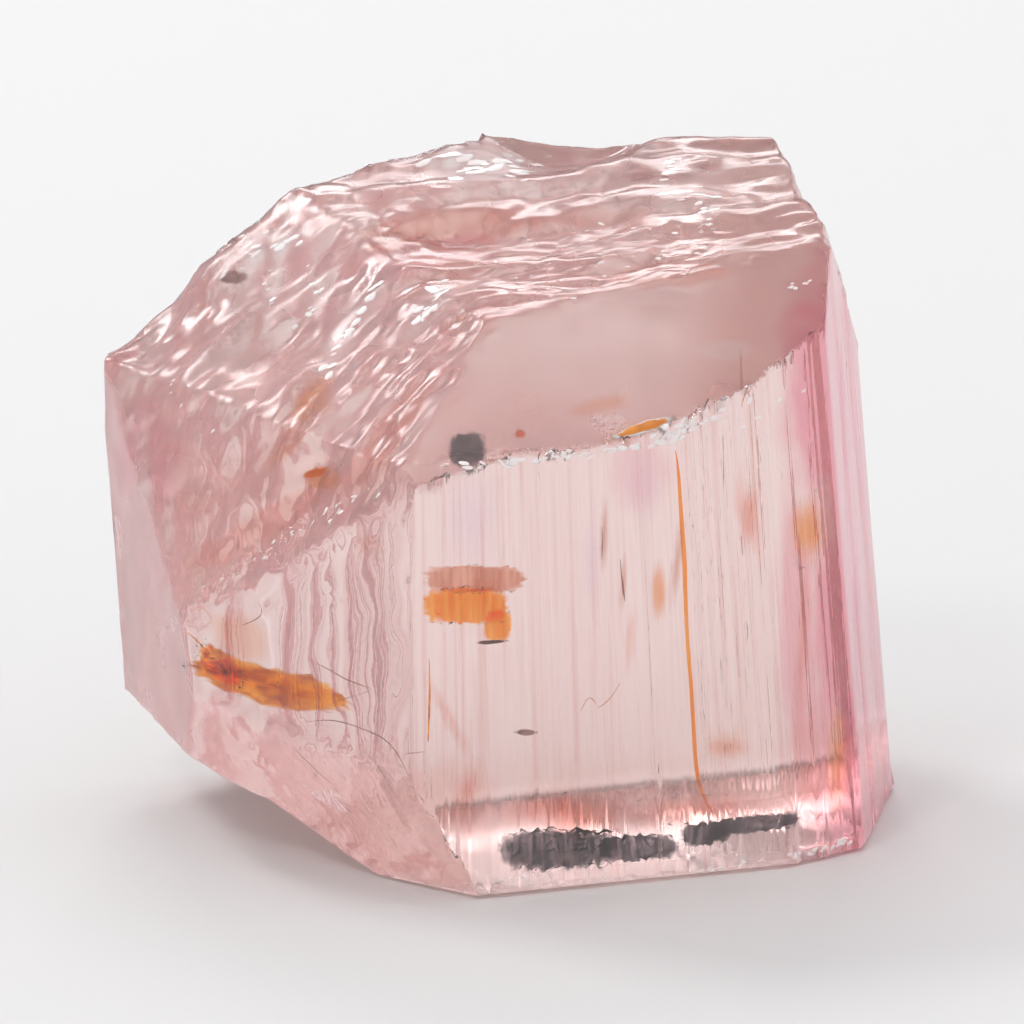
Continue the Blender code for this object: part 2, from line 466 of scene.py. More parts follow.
def displace(
    piece: bpy.types.Object,
    name: str,
    texture: bpy.types.Texture,
    grain: Matrix,
    strength: float,
    direction: str = "NORMAL",
    group: str = "",
) -> None:
    """Displaces a piece by a texture that lies in a stretched and turned space of its own.

    Args:
        piece: The piece to displace.
        name: A name for the modifier.
        texture: The texture.
        grain: The placing and stretching of the texture's space.
        strength: How far the texture's full range reaches, in the piece's units.
        direction: Which way the vertices move.
        group: The vertex group that limits it, if any.
    """
    space = bpy.data.objects.new("grain_of_" + name, None)
    bpy.context.scene.collection.objects.link(space)
    space.matrix_world = grain
    bpy.context.view_layer.update()
    modifier = piece.modifiers.new(name, "DISPLACE")
    modifier.texture = texture
    modifier.texture_coords = "OBJECT"
    modifier.texture_coords_object = space
    modifier.direction = direction
    modifier.vertex_group = group
    modifier.strength = strength
    modifier.mid_level = 0.5
    pick(piece)
    bpy.ops.object.modifier_apply(modifier=modifier.name)
    bpy.data.objects.remove(space)


def noise_texture(name: str, kind: Weave) -> bpy.types.Texture:
    """Makes a noise texture for displacing.

    Args:
        name: The texture's name.
        kind: The kind of noise.

    Returns:
        The texture, at a size of one unit.
    """
    texture = bpy.data.textures.new(name, kind.value)
    texture.noise_scale = 1.0
    if kind is Weave.RIDGES:
        texture.musgrave_type = "RIDGED_MULTIFRACTAL"
        texture.octaves = 2.0
    else:
        texture.noise_depth = 2
    return texture


@dataclass(frozen=True)
class Growth:
    """How the prism leans and narrows on its way up from its foot."""

    axis: Pair = (-0.354, -6.839)
    foot_height: float = -1.0
    lean: float = -0.31 / 18.0
    narrowing: Pair = (0.13 / 18.0, 0.03 / 18.0)

    def foot(self, places: np.ndarray) -> np.ndarray:
        """Slides places down along the growth lines, but keeps their heights.

        Args:
            places: One row of x, y and z for each place.

        Returns:
            One row for each place, with x and y those of its growth line's foot.
        """
        rise = places[:, 2] - self.foot_height
        x = (places[:, 0] - self.axis[0] - self.lean * rise) / (1.0 - self.narrowing[0] * rise)
        y = (places[:, 1] - self.axis[1]) / (1.0 - self.narrowing[1] * rise)
        return np.column_stack((x, y, places[:, 2]))

    def direction(self, places: np.ndarray) -> np.ndarray:
        """The way the growth line through each place runs.

        Args:
            places: One row of x, y and z for each place.

        Returns:
            One row for each place, rising by one.
        """
        foot = self.foot(places)
        x = self.lean - self.narrowing[0] * foot[:, 0]
        y = -self.narrowing[1] * foot[:, 1]
        return np.column_stack((x, y, np.ones(len(places))))


@dataclass(frozen=True)
class Sight:
    """The camera's view, which ties each pixel of the photograph to a place on the crystal."""

    elevation: float = 16.0
    lens: float = 600.0
    sensor: float = 36.0
    aim: Triple = (0.25, 0.0, 7.065)
    pixel_size: float = 18.0 / 792

    def distance(self) -> float:
        """How far the camera stands from its aim, to frame the crystal as the photograph does."""
        return self.lens / self.sensor * self.pixel_size * PHOTO_PIXELS

    def forward(self) -> Vector:
        """The way the camera looks."""
        angle = math.radians(self.elevation)
        return Vector((0.0, math.cos(angle), -math.sin(angle)))

    def up(self) -> Vector:
        """The way that is up in the picture."""
        angle = math.radians(self.elevation)
        return Vector((0.0, math.sin(angle), math.cos(angle)))

    def eye(self) -> Vector:
        """Where the camera stands, in millimetres."""
        return Vector(self.aim) - self.forward() * self.distance()

    def pixels(self, places: np.ndarray) -> np.ndarray:
        """Where places show in the photograph.

        Args:
            places: One row of x, y and z for each place.

        Returns:
            One row of x and y in pixels for each place.
        """
        offset = places - np.array(self.eye())
        scale = self.distance() / self.pixel_size / (offset @ np.array(self.forward()))
        x = PHOTO_PIXELS / 2 + offset[:, 0] * scale
        y = PHOTO_PIXELS / 2 - offset @ np.array(self.up()) * scale
        return np.column_stack((x, y))

    def ray(self, pixel: Pixel) -> Vector:
        """The way from the camera through a pixel.

        Args:
            pixel: The pixel's x and y.

        Returns:
            A direction of length one.
        """
        right = (pixel[0] - PHOTO_PIXELS / 2) * self.pixel_size
        rise = (PHOTO_PIXELS / 2 - pixel[1]) * self.pixel_size
        way = self.forward() * self.distance() + Vector((right, 0.0, 0.0)) + self.up() * rise
        return way.normalized()


@dataclass(frozen=True)
class Seat:
    """A place just inside the crystal, with the ways along, across and out of its surface.

    The first two are as long as one pixel of the photograph is there.
    """

    place: Vector
    along: Vector
    across: Vector
    out: Vector


class Host:
    """A surface that carries inclusions below it or chips on it."""

    # How far out on an ellipse the surface is sampled to lay a seat under it.
    SAMPLE_SHARE = 0.8

    def __init__(self, sight: Sight, mesh: bpy.types.Mesh) -> None:
        """Prepares the surface for looking up places on it.

        Args:
            sight: The camera's view.
            mesh: The surface.
        """
        self.sight = sight
        places = vertex_places(mesh)
        self.tree = BVHTree.FromPolygons(
            [Vector(place) for place in places], [face.vertices[:] for face in mesh.polygons]
        )

    def land(self, pixel: Pixel) -> tuple[Vector, Vector]:
        """Finds the place on the surface that a pixel shows.

        Args:
            pixel: The pixel's x and y.

        Returns:
            The place and the way the surface faces there.

        Raises:
            ValueError: If the pixel doesn't show the surface.
        """
        place, facing, _, _ = self.tree.ray_cast(self.sight.eye(), self.sight.ray(pixel))
        if place is None:
            raise ValueError(f"pixel {pixel} isn't on the crystal")
        return place, facing

    def shows(self, pixel: Pixel) -> bool:
        """Tells whether a pixel shows the surface."""
        return self.tree.ray_cast(self.sight.eye(), self.sight.ray(pixel))[0] is not None

    def seat(self, spot: Spot, depth: float) -> Seat:
        """Finds a flat seat under an ellipse of the photograph.

        Args:
            spot: The ellipse.
            depth: How far below the surface the seat is everywhere.

        Returns:
            The seat at the ellipse's middle.
        """
        angle = math.radians(spot.turn)
        along = Vector((math.cos(angle), -math.sin(angle)))
        across = Vector((-math.sin(angle), -math.cos(angle)))
        middle = Vector(spot.centre)
        reaches = (along * spot.radii[0], across * spot.radii[1])
        shares = (self.SAMPLE_SHARE, -self.SAMPLE_SHARE)
        steps = [reach * share for reach in reaches for share in shares]
        place, facing = self.land(middle)
        landings = [(place, facing)] + [self.land(middle + step) for step in steps]
        out = sum((landing[1] for landing in landings), Vector()).normalized()
        deepest = min((landing[0] - place).dot(out) for landing in landings)
        seat = place + out * (deepest - depth)

        def seated(pixel: Vector) -> Vector:
            """Finds the place on the seat's plane that a pixel shows.

            Args:
                pixel: The pixel's x and y.

            Returns:
                The place.
            """
            way = self.sight.ray(pixel)
            eye = self.sight.eye()
            return eye + way * ((seat - eye).dot(out) / way.dot(out))

        centre = seated(middle)
        return Seat(centre, seated(middle + along) - centre, seated(middle + across) - centre, out)


class Shading:
    """A short way to add nodes to a material and to join them."""

    def __init__(self, name: str) -> None:
        """Makes a material with its shader.

        Args:
            name: The material's name.
        """
        self.material = bpy.data.materials.new(name)
        self.material.use_nodes = True
        self.tree = self.material.node_tree
        self.shader = self.tree.nodes["Principled BSDF"]
        self.output = self.tree.nodes["Material Output"]

    def add(self, kind: str, **settings: object) -> bpy.types.Node:
        """Adds one node.

        Args:
            kind: The node's type, without its ShaderNode prefix.
            settings: Values for the node's own settings.

        Returns:
            The node.
        """
        node = self.tree.nodes.new("ShaderNode" + kind)
        for name, value in settings.items():
            setattr(node, name, value)
        return node

    def join(self, source: Socket, target: Socket) -> None:
        """Links one socket to another."""
        self.tree.links.new(source, target)

    def attribute(self, name: str) -> Socket:
        """Reads an attribute of the mesh as one number."""
        return self.add("Attribute", attribute_name=name).outputs["Fac"]

    def mix(self, share: Socket, first: Colour | Socket, second: Colour | Socket) -> Socket:
        """Mixes two colours.

        Args:
            share: How much of the second colour to use.
            first: A colour, or the socket that gives it.
            second: A colour, or the socket that gives it.

        Returns:
            The mixed colour's socket.
        """
        node = self.add("Mix", data_type="RGBA")
        self.join(share, node.inputs["Factor"])
        for colour, socket in ((first, node.inputs["A"]), (second, node.inputs["B"])):
            if isinstance(colour, Socket):
                self.join(colour, socket)
            else:
                socket.default_value = (*colour, 1.0)
        return node.outputs["Result"]

    def combine(self, operation: str, first: Socket, second: Socket) -> Socket:
        """Works one number out from two.

        Args:
            operation: The Math node's operation.
            first: The first number's socket.
            second: The second number's socket.

        Returns:
            The result's socket.
        """
        node = self.add("Math", operation=operation)
        self.join(first, node.inputs[0])
        self.join(second, node.inputs[1])
        return node.outputs["Value"]

    def stretch(self, value: Socket, low: float, high: float) -> Socket:
        """Stretches a value so that low becomes 0 and high becomes 1, with nothing beyond.

        Args:
            value: The value's socket.
            low: What becomes 0.
            high: What becomes 1.

        Returns:
            The stretched value's socket.
        """
        node = self.add("MapRange")
        node.inputs["From Min"].default_value = low
        node.inputs["From Max"].default_value = high
        self.join(value, node.inputs["Value"])
        return node.outputs["Result"]

    def noise(
        self, vector: Socket, stretch: Triple, detail: float = 2.0
    ) -> Socket:
        """Adds stretched noise.

        Args:
            vector: The coordinates that it reads.
            stretch: How many lumps of noise there are to each unit, along each axis.
            detail: How many finer layers it has.

        Returns:
            The noise's socket, from 0 to 1.
        """
        mapping = self.add("Mapping")
        mapping.inputs["Scale"].default_value = stretch
        self.join(vector, mapping.inputs["Vector"])
        node = self.add("TexNoise")
        node.inputs["Scale"].default_value = 1.0
        node.inputs["Detail"].default_value = detail
        self.join(mapping.outputs["Vector"], node.inputs["Vector"])
        return node.outputs["Fac"]


@dataclass(frozen=True)
class TopazFinish:
    """Clear pink topaz: striated where it grew, frosted, stained, milky and with painted highlights
    in places.

    What is named scale says how many lumps of noise there are to a millimetre along each axis.
    """

    clear: Colour = (1.0, 0.98, 0.965)
    veil: Colour = (1.0, 0.94, 0.925)
    line: Colour = (0.82, 0.58, 0.54)
    rose: Colour = (0.87, 0.41, 0.32)
    mauve: Colour = (0.84, 0.28, 0.38)
    rust: Colour = (0.82, 0.32, 0.08)
    # Whitish, for milky zones and for painted highlights.
    milk: Colour = (1.0, 0.99, 0.97)
    ior: float = 1.62
    transmission: float = 0.95
    absorption_colour: Colour = (0.97, 0.60, 0.55)
    absorption_density: float = 47.0
    bump_height: float = 0.000018
    veil_scale: Triple = (1.1, 1.1, 0.22)
    line_scale: Triple = (6.5, 6.5, 0.13)
    line_range: Pair = (0.50, 0.78)
    grain_scale: Triple = (6.0, 6.0, 6.0)
    stria_scale: Triple = (9.0, 9.0, 0.10)

    def material(self) -> bpy.types.Material:
        """Makes the material.

        Returns:
            The material, which reads the crystal's attributes.
        """
        shading = Shading("imperial_topaz")
        shader = shading.shader
        shader.inputs["IOR"].default_value = self.ior
        shader.inputs["Transmission Weight"].default_value = self.transmission
        foot = shading.add("Attribute", attribute_name=FOOT).outputs["Vector"]
        self.colour(shading, foot)
        self.surface(shading, foot)
        absorption = shading.add("VolumeAbsorption")
        absorption.inputs["Color"].default_value = (*self.absorption_colour, 1.0)
        absorption.inputs["Density"].default_value = self.absorption_density
        shading.join(absorption.outputs["Volume"], shading.output.inputs["Volume"])
        return shading.material

    def colour(self, shading: Shading, foot: Socket) -> None:
        """Joins the colours that the growth lines and the marks give.

        Args:
            shading: The material's nodes.
            foot: Coordinates in millimetres that run along the growth lines.
        """
        colour = shading.mix(shading.noise(foot, self.veil_scale, 1.0), self.clear, self.veil)
        lines = shading.stretch(shading.noise(foot, self.line_scale, 3.0), *self.line_range)
        lines = shading.combine("MULTIPLY", lines, shading.attribute(GROWTH))
        colour = shading.mix(lines, colour, self.line)
        for mark, tint in (
            (Mark.ROSE, self.rose),
            (Mark.MAUVE, self.mauve),
            (Mark.RUST, self.rust),
            (Mark.MILK_AND_HIGHLIGHT, self.milk),
        ):
            colour = shading.mix(shading.attribute(mark.value), colour, tint)
        shading.join(colour, shading.shader.inputs["Base Color"])

    def surface(self, shading: Shading, foot: Socket) -> None:
        """Joins the roughness and the finest relief.

        Args:
            shading: The material's nodes.
            foot: Coordinates in millimetres that run along the growth lines.
        """
        grain = shading.noise(foot, self.grain_scale, 1.0)
        relief = shading.add("Mix", data_type="FLOAT")
        shading.join(shading.attribute(GROWTH), relief.inputs["Factor"])
        grit = shading.combine("MULTIPLY", grain, shading.attribute(GRIT))
        shading.join(grit, relief.inputs["A"])
        shading.join(shading.noise(foot, self.stria_scale, 2.0), relief.inputs["B"])
        bump = shading.add("Bump")
        bump.inputs["Distance"].default_value = self.bump_height
        shading.join(relief.outputs["Result"], bump.inputs["Height"])
        shading.join(bump.outputs["Normal"], shading.shader.inputs["Normal"])
        shading.join(shading.attribute(Mark.FROST.value), shading.shader.inputs["Roughness"])


@dataclass(frozen=True)
class FilmFinish:
    """A film inside the crystal, in two colours mixed in streaks: a mineral, or a dark sheet of
    painted shade.

    It gives way to the clear colour at its rim, the more gently the greater its softness.
    The streaks are counted to the metre along each axis.
    """

    name: str
    light: Colour
    dark: Colour
    streaks: Triple = (1500.0, 1500.0, 1500.0)
    contrast: Pair = (0.40, 0.62)
    softness: float = 0.2
    clear: Colour = (1.0, 1.0, 1.0)
    roughness: float = 0.1
    transmission: float = 1.0
    ior: float = 1.0

    def material(self) -> bpy.types.Material:
        """Makes the material, or finds it again.

        Returns:
            The material.
        """
        if self.name in bpy.data.materials:
            return bpy.data.materials[self.name]
        shading = Shading(self.name)
        place = shading.add("TexCoord").outputs["Object"]
        streaks = shading.noise(place, self.streaks, 4.0)
        colour = shading.mix(shading.stretch(streaks, *self.contrast), self.light, self.dark)
        inside = shading.combine("SUBTRACT", shading.attribute(FULLNESS), streaks)
        film = shading.stretch(inside, -self.softness, self.softness)
        shading.join(shading.mix(film, self.clear, colour), shading.shader.inputs["Base Color"])
        shading.shader.inputs["Roughness"].default_value = self.roughness
        shading.shader.inputs["Transmission Weight"].default_value = self.transmission
        shading.shader.inputs["IOR"].default_value = self.ior
        return shading.material


@dataclass(frozen=True)
class SoftFilm(FilmFinish):
    """A film in upright streaks that fades out gently."""

    streaks: Triple = (9000.0, 9000.0, 600.0)
    softness: float = 0.45


@dataclass(frozen=True)
class Crust(FilmFinish):
    """A rougher, denser film, for what lies at the crystal's surface."""

    roughness: float = 0.3
    transmission: float = 0.2
    ior: float = 1.5


ORANGE = FilmFinish("iron_orange", (1.0, 0.46, 0.02), (0.60, 0.15, 0.01), (1400, 1400, 3200))
AMBER = FilmFinish("iron_amber", (1.0, 0.50, 0.08), (0.95, 0.30, 0.02), (9000, 9000, 500))
RUSSET = FilmFinish("iron_russet", (0.85, 0.50, 0.38), (0.62, 0.26, 0.16), (9000, 9000, 500))
DEEP_ORANGE = FilmFinish("iron_deep_orange", (1.0, 0.24, 0.01), (0.65, 0.09, 0.006))
UMBER = FilmFinish("iron_umber", (0.40, 0.20, 0.10), (0.12, 0.05, 0.03))
# A dark film that stands as a painted reflection of the dark surroundings, not a mineral.
DARK_REFLECTION = FilmFinish("dark_reflection_film", (0.20, 0.18, 0.20), (0.03, 0.03, 0.035), (9000, 9000, 700))
SHADOW = FilmFinish("crack_shadow", (0.42, 0.28, 0.26), (0.22, 0.14, 0.13))
ROSE_FILM = SoftFilm("rose_film", (0.98, 0.84, 0.80), (0.90, 0.62, 0.56))
BROWN_FILM = SoftFilm("brown_film", (0.88, 0.66, 0.60), (0.66, 0.42, 0.36), softness=0.4)
MAUVE_FILM = SoftFilm("mauve_film", (0.95, 0.76, 0.84), (0.88, 0.62, 0.74), (9000, 9000, 400))
LAVENDER = SoftFilm("lavender_film", (0.96, 0.94, 1.0), (0.93, 0.88, 0.98))
HAZE = SoftFilm("iron_haze", (1.0, 0.84, 0.70), (0.98, 0.70, 0.48))
# White crust for real chips and for the splinters that stand as painted glints.
GLINT_AND_CHIP_CRUST = Crust("chipped_edge_and_glint", (1.0, 0.97, 0.95), (1.0, 0.88, 0.85), (2500, 2500, 2500))
LEAF = Crust(
    "iron_leaf", (1.0, 0.40, 0.05), (0.75, 0.20, 0.02), (1800, 1800, 1800), transmission=0.4
)


def store(piece: bpy.types.Object, name: str, values: np.ndarray) -> None:
    """Stores a number for each of a piece's vertices, for its material to read.

    Args:
        piece: The piece.
        name: The attribute's name.
        values: One number for each vertex.
    """
    piece.data.attributes.new(name, "FLOAT", "POINT").data.foreach_set("value", values)


def fill(piece: bpy.types.Object) -> None:
    """Makes a piece's film full everywhere, with no clear rim."""
    store(piece, FULLNESS, np.ones(len(piece.data.vertices)))


def keep_in_box(piece: bpy.types.Object) -> None:
    """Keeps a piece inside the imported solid's box.

    Args:
        piece: The piece.
    """
    low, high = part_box(NODE)
    places = vertex_places(piece.data)
    place_vertices(piece.data, np.clip(places, np.array(low) / MM, np.array(high) / MM))


def carry(piece: bpy.types.Object, finish: FilmFinish) -> None:
    """Gives an inclusion its finish and lets the crystal carry it.

    Args:
        piece: The inclusion.
        finish: Its finish.
    """
    keep_in_box(piece)
    piece.data.materials.clear()
    piece.data.materials.append(finish.material())
    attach(piece, BODY)


def add_ball(level: int) -> bpy.types.Object:
    """Adds a ball of radius one at the origin.

    Args:
        level: How often its faces are divided.

    Returns:
        The ball.
    """
    deselect_all()
    bpy.ops.mesh.primitive_ico_sphere_add(subdivisions=level, radius=1.0)
    return bpy.context.object


def place_ball(ball: bpy.types.Object, middle: Vector, axes: tuple[Vector, ...]) -> None:
    """Moves and stretches the mesh of a ball into its place.

    Args:
        ball: A ball of radius one.
        middle: Where its middle comes, in millimetres.
        axes: Its three half axes there, in millimetres.
    """
    placing = Matrix.Identity(4)
    for index, axis in enumerate(axes):
        placing.col[index].xyz = axis * MM
    placing.col[3].xyz = middle * MM
    ball.data.transform(placing)
    ball.data.update()


@dataclass(frozen=True)
class Flake:
    """A thin film just inside the crystal, such as an iron stain, or a dark sheet of painted shade.

    Feather frays it along its length and ragged along its sides. Its colour fills it but for
    the outermost share named edge, and margin makes room for that.
    """

    name: str
    spot: Spot
    finish: FilmFinish
    depth: float = 0.15
    thickness: float = 0.05
    taper: float = 0.0
    feather: float = 0.25
    ragged: float = 0.3
    square: float = 0.0
    seed: float = 0.0
    edge: float = 0.4
    margin: float = 1.2
    fibres: Triple = (3.0, 0.10, 3.0)
    nicks: Triple = (0.22, 1.5, 1.5)
    level: int = 5

    def build(self, host: Host) -> None:
        """Makes the film.

        Args:
            host: The crystal that it lies in.
        """
        piece = add_ball(self.level)
        piece.name = self.name
        reach = np.linalg.norm(vertex_places(piece.data)[:, :2] * MM, axis=1)
        store(piece, FULLNESS, np.clip((1.0 - reach) / self.edge, 0.0, 1.0))
        self.shape(piece)
        seat = host.seat(self.spot, self.depth)
        along, across = (radius * self.margin for radius in self.spot.radii)
        axes = (seat.along * along, seat.across * across, seat.out * self.thickness)
        place_ball(piece, seat.place, axes)
        carry(piece, self.finish)

    def shape(self, piece: bpy.types.Object) -> None:
        """Squares, tapers and frays the ball that the film is made from.

        Args:
            piece: A ball of radius one.
        """
        pick(piece)
        if self.square:
            cast = piece.modifiers.new("square", "CAST")
            cast.cast_type = "CUBOID"
            cast.factor = self.square
            bpy.ops.object.modifier_apply(modifier=cast.name)
        if self.taper:
            taper = piece.modifiers.new("taper", "SIMPLE_DEFORM")
            taper.deform_method = "TAPER"
            taper.deform_axis = "X"
            taper.factor = self.taper
            bpy.ops.object.modifier_apply(modifier=taper.name)
        clouds = noise_texture(self.name + "_noise", Weave.CLOUDS)
        shift = Matrix.Translation((self.seed, self.seed, self.seed))
        for name, lumps, reach, direction in (
            ("feather", self.fibres, self.feather, "X"),
            ("ragged", self.nicks, self.ragged, "Y"),
        ):
            grain = shift @ Matrix.Diagonal((*lumps, 1.0))
            displace(piece, name, clouds, grain, reach * 2.0, direction)


@dataclass(frozen=True)
class Veil(Flake):
    """A thin flake that fades from its middle on."""

    depth: float = 0.3
    thickness: float = 0.03
    feather: float = 0.15
    ragged: float = 0.2
    edge: float = 0.9


@dataclass(frozen=True)
class DarkReflectionFoot(Flake):
    """A squarish, frayed dark flake above the crystal's foot, a painted reflection of the dark
    surroundings.
    """

    depth: float = 0.16
    thickness: float = 0.04
    feather: float = 0.5
    ragged: float = 0.1
    square: float = 0.4


@dataclass(frozen=True)
class Thread:
    """A thin thread inside the crystal along named pixels: a needle, a vein or a crack's edge.

    It is as thick as its radius in the middle, never thinner than the share named tip, and
    swells and shrinks a little on its way.
    """

    name: str
    pixels: tuple[Pixel, ...]
    radius: float
    finish: FilmFinish
    depth: float = 0.12
    swell: float = 0.0
    tip: float = 0.25
    bulge: float = 0.6
    waves: float = 9.0

    def build(self, host: Host) -> None:
        """Makes the thread.

        Args:
            host: The crystal that it lies in.
        """
        data = bpy.data.curves.new(self.name, "CURVE")
        data.dimensions = "3D"
        data.bevel_depth = self.radius * MM
        data.bevel_resolution = 2
        data.use_fill_caps = True
        data.resolution_u = 6
        spline = data.splines.new("NURBS")
        spline.points.add(len(self.pixels) - 1)
        spline.use_endpoint_u = True
        spline.order_u = 3
        for index, (point, pixel) in enumerate(zip(spline.points, self.pixels)):
            place, facing = host.land(pixel)
            point.co = (*((place - facing * self.depth) * MM), 1.0)
            point.radius = self.width_at(index / (len(self.pixels) - 1))
        thread = bpy.data.objects.new(self.name, data)
        bpy.context.scene.collection.objects.link(thread)
        pick(thread)
        bpy.ops.object.convert(target="MESH")
        piece = bpy.context.object
        piece.name = self.name
        bpy.ops.object.mode_set(mode="EDIT")
        bpy.ops.mesh.select_all(action="SELECT")
        bpy.ops.mesh.remove_doubles(threshold=THREAD_WELD)
        bpy.ops.object.mode_set(mode="OBJECT")
        fill(piece)
        carry(piece, self.finish)

    def width_at(self, share: float) -> float:
        """How thick the thread is at a share of its length.

        Args:
            share: The share, from 0 to 1.

        Returns:
            The thickness, compared with the radius.
        """
        width = max(self.tip, math.sin(math.pi * share) ** self.bulge)
        return width * (1.0 + self.swell * math.sin(self.waves * share))


@dataclass(frozen=True)
class ChipsAndGlints:
    """Small bright splinters on the surface, scattered along a line of pixels as one piece: chips,
    painted glints or both.

    Spread and size are in pixels of the photograph, and turn and stray in degrees.
    """

    name: str
    pixels: tuple[Pixel, ...]
    count: int
    spread: float
    size: Pair
    turn: float
    seed: int
    slimness: Pair = (0.25, 0.6)
    stray: float = 25.0
    thickness: float = 0.018

    def build(self, host: Host) -> None:
        """Makes the splinters.

        Args:
            host: The surface that they lie on.
        """
        dice = np.random.default_rng(self.seed)
        line = np.array(self.pixels, float)
        stops = np.linspace(0.0, 1.0, len(line))
        splinters = []
        for share in dice.random(self.count):
            middle = np.array([np.interp(share, stops, line[:, axis]) for axis in (0, 1)])
            pixel = middle + dice.normal(0.0, self.spread, 2)
            if host.shows(pixel):
                splinters.append(self.splinter(host, pixel, dice))
        deselect_all()
        for splinter in splinters:
            splinter.select_set(True)
        bpy.context.view_layer.objects.active = splinters[0]
        bpy.ops.object.join()
        piece = bpy.context.object
        piece.name = self.name
        fill(piece)
        carry(piece, GLINT_AND_CHIP_CRUST)

    def splinter(
        self, host: Host, pixel: np.ndarray, dice: np.random.Generator
    ) -> bpy.types.Object:
        """Makes one splinter, longest along the line's turn.

        Args:
            host: The surface that it lies on.
            pixel: Its x and y in the photograph.
            dice: The source of its size and turn.

        Returns:
            The splinter.
        """
        place, facing = host.land(tuple(pixel))
        splinter = add_ball(1)
        length = dice.uniform(*self.size) * host.sight.pixel_size
        width = length * dice.uniform(*self.slimness)
        turn = math.radians(self.turn + dice.normal(0.0, self.stray))
        right = Vector((math.cos(turn), 0.0, math.sin(turn)))
        along = (right - facing * right.dot(facing)).normalized()
        axes = (along * length, facing.cross(along) * width, facing * self.thickness)
        place_ball(splinter, place, axes)
        return splinter


RIM_LEFT = ((432, 468), (520, 462), (600, 452), (642, 446))
RIM_RIGHT = ((642, 446), (690, 425), (722, 417), (800, 395))
FOOT_LINE = ((500, 880), (600, 882), (700, 871), (800, 854), (850, 841))

# Along the rims the splinters are partly real chips and partly painted glints; the foot chips are
# real chips; the glints and sparkles groups are painted highlights.
# Each group's name, line, count, spread, sizes from least to most, turn and seed.
CHIPS = (
    ChipsAndGlints("rim_chips_left", RIM_LEFT, 46, 2.5, (2.0, 7.0), 3.0, 1),
    ChipsAndGlints("rim_chips_right", RIM_RIGHT, 30, 6.0, (1.5, 6.0), 14.0, 2),
    ChipsAndGlints("rim_chips_middle", ((655, 440), (705, 422)), 14, 6.0, (3.0, 9.0), 14.0, 3),
    ChipsAndGlints("glints_crest", ((414, 330), (445, 284)), 16, 4.5, (4.0, 11.0), 60.0, 4),
    ChipsAndGlints("glints_streak", ((325, 372), (352, 328), (382, 281)), 22, 3.0, (3.0, 10.0), 58.0, 5),
    ChipsAndGlints("glints_far_left", ((147, 350), (212, 442)), 5, 6.0, (2.0, 5.0), 40.0, 6),
    ChipsAndGlints("glints_upper_left", ((240, 255), (305, 320), (323, 273)), 14, 9.0, (2.0, 6.0), 30.0, 7),
    ChipsAndGlints("glints_back", ((430, 165), (478, 162), (528, 168)), 30, 7.0, (4.0, 13.0), 0.0, 15),
    ChipsAndGlints("glints_back_left", ((242, 246), (300, 236)), 14, 5.0, (3.0, 8.0), 15.0, 16),
    ChipsAndGlints("glints_top", ((655, 168), (710, 160)), 16, 5.0, (3.0, 9.0), 0.0, 8),
    ChipsAndGlints("glints_top_low", ((660, 205), (716, 198)), 16, 7.0, (3.0, 9.0), 0.0, 9),
    ChipsAndGlints("sparkles_top", ((560, 225), (673, 232), (720, 224)), 16, 5.0, (1.5, 4.5), 5.0, 10),
    ChipsAndGlints("sparkles_ledges", ((510, 290), (600, 272), (705, 260)), 24, 9.0, (1.5, 4.5), 6.0, 11),
    ChipsAndGlints("sparkles_ring", ((787, 290), (817, 280)), 7, 3.0, (2.0, 5.0), 20.0, 12),
    ChipsAndGlints("foot_chips", FOOT_LINE, 60, 1.5, (2.0, 5.0), 5.0, 13),
    ChipsAndGlints("left_rim_chips", ((205, 588), (300, 530), (400, 478)), 26, 4.0, (1.5, 4.5), 36.0, 14),
)

